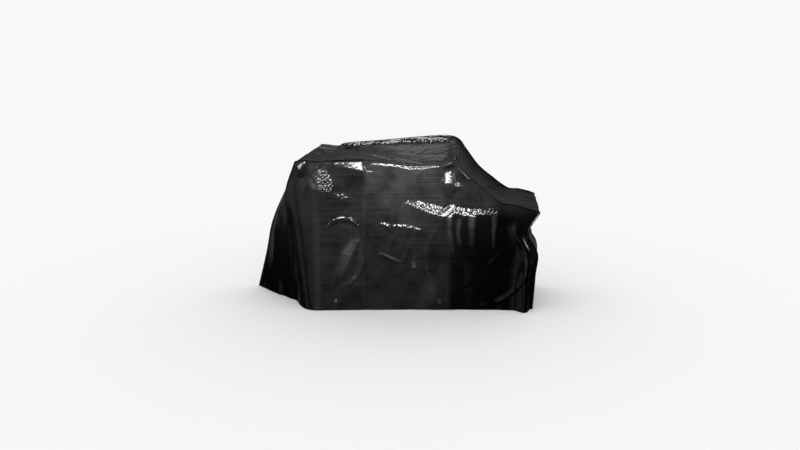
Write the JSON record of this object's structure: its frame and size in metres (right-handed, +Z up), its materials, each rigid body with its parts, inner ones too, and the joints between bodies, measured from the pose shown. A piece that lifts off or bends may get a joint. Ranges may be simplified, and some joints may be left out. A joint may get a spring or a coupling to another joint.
{
  "type": "bicycle cover",
  "caption": "Fitted bicycle cover of thin black film: side panels and a gusset, open at the bottom, with ring eyelets in the near hem.",
  "frame": {"origin": "on the ground, under the middle of the cover's box", "axes": "+X along the covered bicycle, from the handlebar end to the nose over the rear rack; +Y from the near side, which has the eyelets, to the far side; +Z up"},
  "size_m": [2.0966, 0.6681, 1.1503],
  "materials": {
    "film": "thin black blown polyethylene film, glossy, finely crinkled",
    "eyelet": "nickel-plated pressed steel ring"
  },
  "bodies": {
    "root": {"near_side_panel": "film", "near_hem_strip": "film", "far_side_panel": "film", "gusset": "film", "eyelet_front": "eyelet", "eyelet_rear": "eyelet"}
  },
  "joints": []
}
